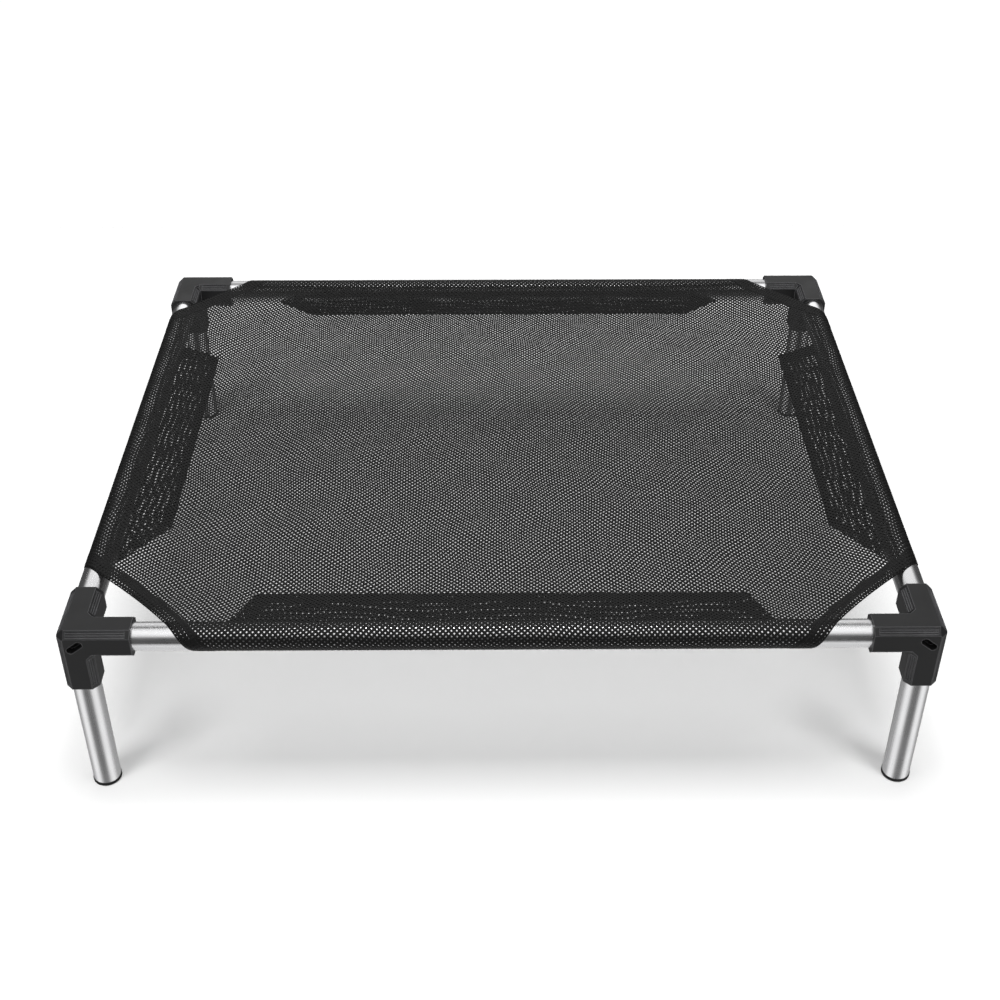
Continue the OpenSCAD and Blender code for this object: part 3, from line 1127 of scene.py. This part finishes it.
@dataclass
class MeshCover:
    """The sewn cover: its deck, the four sleeves round the rails, the four corners and their hems."""

    shape: CoverShape
    weave: MeshWeave = MeshWeave()
    hem_weave: MeshWeave = MeshWeave(
        strand=2.65 * MM, crown=0.2 * MM, relief=0.15 * MM, wall=0.2 * MM, turn_deg=0.0, wave=0.5 * MM
    )
    drawn: float = 1.22  # how far the under leaf of a sleeve is pulled out towards its seam
    round_strands: tuple[float, float] = (2.3 * MM, 2.6 * MM)  # round the rails, side and cross
    leaf_strands: tuple[float, float] = (2.3 * MM, 2.8 * MM)  # in the under leaves, side and cross
    turned_strand: float = 3.4 * MM  # in the turned-in edge, which is folded over itself
    stitches: Lockstitch = Lockstitch()
    hem_w: float = 18.5 * MM
    hem_row: float = 3.0 * MM  # from the hem's inner edge to its stitches
    hem_steps: int = 120  # along a row of stitches
    leaf_gap: float = 0.5 * MM  # between the middles of the hem's two leaves
    leaf_low: float = -0.3 * MM  # of the lower leaf, from the middle of the single cloth

    def __post_init__(self) -> None:
        """Takes the corners' places from the shape."""
        self.cuts = {end: CornerCut(self.shape, end) for end in End}
        self.lines = {end: HemLine(cut) for end, cut in self.cuts.items()}

    def build(self) -> None:
        """Makes every piece of the cover."""
        yarn = CoatedYarn().build()
        folded = CoatedYarn(name="folded_mesh_hem", deep="#0b0b0b", lifted="#1c1c1c", sheen=0.3).build()
        cloth = [*self._deck(), *map(self._cross_sleeve, End), *map(self._side_sleeve, Side)]
        for piece in cloth:
            self._finish(piece, yarn, "mesh_cloth")
        for side in Side:
            for end in End:
                hem = self._hem(side, end)
                self._finish(hem, folded, "hem_cloth")
                self._finish(self._corner(side, end, hem), yarn, "mesh_cloth")
        self._finish(self._stitching(), BondedThread().build(), "hem_cloth")

    @staticmethod
    def _finish(piece: bpy.types.Object, material: bpy.types.Material, slot: str) -> None:
        """Gives a piece its material, and fixes it to the bed.

        Args:
            piece: the piece.
            material: its finish.
            slot: the record's slot that it takes that finish from; not used.
        """
        piece.data.materials.append(material)
        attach(piece, ROOT)
        report(piece)

    def _deck(self) -> list[bpy.types.Object]:
        """Makes the deck inside the four seams, in two halves that meet row by row.

        Returns:
            The halves.
        """
        s = self.shape
        x, y = s.rail_x - s.seam_in, s.rail_y - s.seam_in
        ex, ey = s.seam_end_x, s.fold_end_y
        halves = []
        for side in Side:
            right = [(0.0, -y), (ex, -y), (x, -ey), (x, ey), (ex, y), (0.0, y)]
            outline = right if side is Side.RIGHT else [(-px, -py) for px, py in right]
            made = lay_cloth(f"cover_deck_{side.word}", [(self.weave, outline)], s.place)
            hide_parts("mesh_deck")
            area_of(outline)
            halves.append(made)
        return halves

    def _sleeve(self, right: list[Point], left: list[Point], cross: bool) -> list[Patch]:
        """Lays out one sleeve that runs along x with its rail towards +y.

        Args:
            right: points of its end at +x.
            left: points of its end at -x, mirrored to +x.
            cross: whether it is the sleeve of a cross rail.

        Returns:
            The weave and outline of its pocket, of the cloth round the rail, of the under leaf and
            of the turned-in edge.
        """
        pull = (1.0, self.drawn) if cross else (self.drawn, 1.0)
        tight = replace(self.weave, strand=self.round_strands[cross])
        leaf = replace(self.weave, stretch=pull, strand=self.leaf_strands[cross])
        turned = replace(self.weave, strand=self.turned_strand)
        patches = []
        for first, last, weave in ((0, 3, self.weave), (2, 4, tight), (3, 5, leaf), (4, 6, turned)):
            mirrored = [(-x, y) for x, y in reversed(left[first:last])]
            patches.append((weave, [*right[first:last], *mirrored]))
        return patches

    def _cross_sleeve(self, end: End) -> bpy.types.Object:
        """Makes the sleeve of the front or rear rail.

        Args:
            end: the end that the rail is at.

        Returns:
            The sleeve.
        """
        edge = self.cuts[end].sleeve_end(cross=True)
        patches = self._sleeve(edge, edge, cross=True)
        turned = [(weave, [(end.value * x, end.value * y) for x, y in patch]) for weave, patch in patches]
        return self._declared(f"sleeve_{end.word}", turned)

    def _side_sleeve(self, side: Side) -> bpy.types.Object:
        """Makes the sleeve of the left or right rail.

        Args:
            side: the side that the rail is on.

        Returns:
            The sleeve.
        """
        front, rear = (self.cuts[end].sleeve_end(cross=False) for end in End)
        ends = (front, rear) if side is Side.RIGHT else (rear, front)
        patches = self._sleeve(*ends, cross=False)
        turned = [(weave, [(side.value * y, -side.value * x) for x, y in patch]) for weave, patch in patches]
        return self._declared(f"sleeve_{side.word}", turned)

    def _declared(self, node: str, patches: list[Patch]) -> bpy.types.Object:
        """Args:
            node: the sleeve of the model that it stands for.
            patches: the weave and outline of its patches on the chart.

        Returns:
            The sleeve.
        """
        made = lay_cloth(f"cover_{node}", patches, self.shape.place)
        xs, ys = ([p[i] for _, patch in patches for p in patch] for i in (0, 1))
        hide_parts(node)
        flat = (max(xs) - min(xs), max(ys) - min(ys))
        area = sum(area_of(patch) for _, patch in patches)
        return made

    def _corner(self, side: Side, end: End, hem: bpy.types.Object) -> bpy.types.Object:
        """Makes the single cloth of a corner, between two sleeves, the deck and the hem.

        Args:
            side: the side that the corner is on.
            end: the end that it is at.
            hem: the hem along its cut; not used.

        Returns:
            The corner's cloth.
        """
        cut = self.cuts[end]
        outline = [cut.cross_fold, cut.side_fold, cut.side_tuck, cut.top_tuck]
        signed = [(side.value * p.x, end.value * p.y) for p in outline]
        ordered = signed if side.value * end.value > 0 else signed[::-1]
        where = f"{end.word}_{side.word}"
        made = lay_cloth(f"cover_corner_{where}", [(self.weave, ordered)], self.shape.place)
        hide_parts(f"hem_{where}")
        area_of(outline)
        return made

    def _hem(self, side: Side, end: End) -> bpy.types.Object:
        """Makes the hem of a corner: a strip folded double along the cover's edge.

        Args:
            side: the side that the corner is on.
            end: the end that it is at.

        Returns:
            The hem.
        """
        flip = side.value * end.value
        line = self.lines[end]

        def place(spot: Vector) -> Vector:
            """Takes a point of the flat strip to its place on the bed.

            Args:
                spot: place along and across the strip, with the distance off its cloth as its z.

            Returns:
                The place in the model's frame.
            """
            run = spot.x if flip > 0 else line.length - spot.x
            x, y = line.at(run, abs(spot.y))
            upper = spot.y * flip > 0
            leaf = float(upper) if abs(spot.y) > TOUCHING else 0.5  # half way up on the fold itself
            off = self.leaf_low + self.leaf_gap * leaf + (spot.z if leaf > 0.5 else -spot.z)
            return self.shape.place(Vector((side.value * x, end.value * y, off)))

        w, length = self.hem_w, line.length
        strip = [(0.0, -w), (length, -w), (length, w), (0.0, w)]
        fold = (0.0, 0.0), (0.0, 1.0)
        return lay_cloth(f"cover_hem_{end.word}_{side.word}", [(self.hem_weave, strip)], place, fold)

    def _stitching(self) -> bpy.types.Object:
        """Sews the hems down and the sleeves' under leaves to the deck.

        Returns:
            All the thread, as one piece.
        """
        s = self.shape
        bm = bmesh.new()
        off = self.leaf_low + self.leaf_gap
        for side in Side:
            for end in End:
                line = self.lines[end]
                runs = (line.length * i / self.hem_steps for i in range(self.hem_steps + 1))
                spots = (line.at(run, self.hem_w - self.hem_row) for run in runs)
                row = [Vector((side.value * x, end.value * y)) for x, y in spots]
                self.stitches.sew(bm, row, s.place, off)
            x = side.value * (s.rail_x - s.seam_in)
            self.stitches.sew(bm, [Vector((x, -s.fold_end_y)), Vector((x, s.fold_end_y))], s.place, 0.0)
        for end in End:
            y = end.value * (s.rail_y - s.seam_in)
            self.stitches.sew(bm, [Vector((-s.seam_end_x, y)), Vector((s.seam_end_x, y))], s.place, 0.0)
        return mesh_object("cover_stitches", bm)


def main() -> None:
    """Builds the studio and dresses the bed."""
    logging.basicConfig(level=logging.INFO, format="%(name)s %(message)s")
    bpy.context.scene.view_settings.view_transform = "Standard"
    Studio().build()
    TubeFrame().dress()
    MeshCover(CoverShape()).build()


if __name__ == "__main__":
    main()
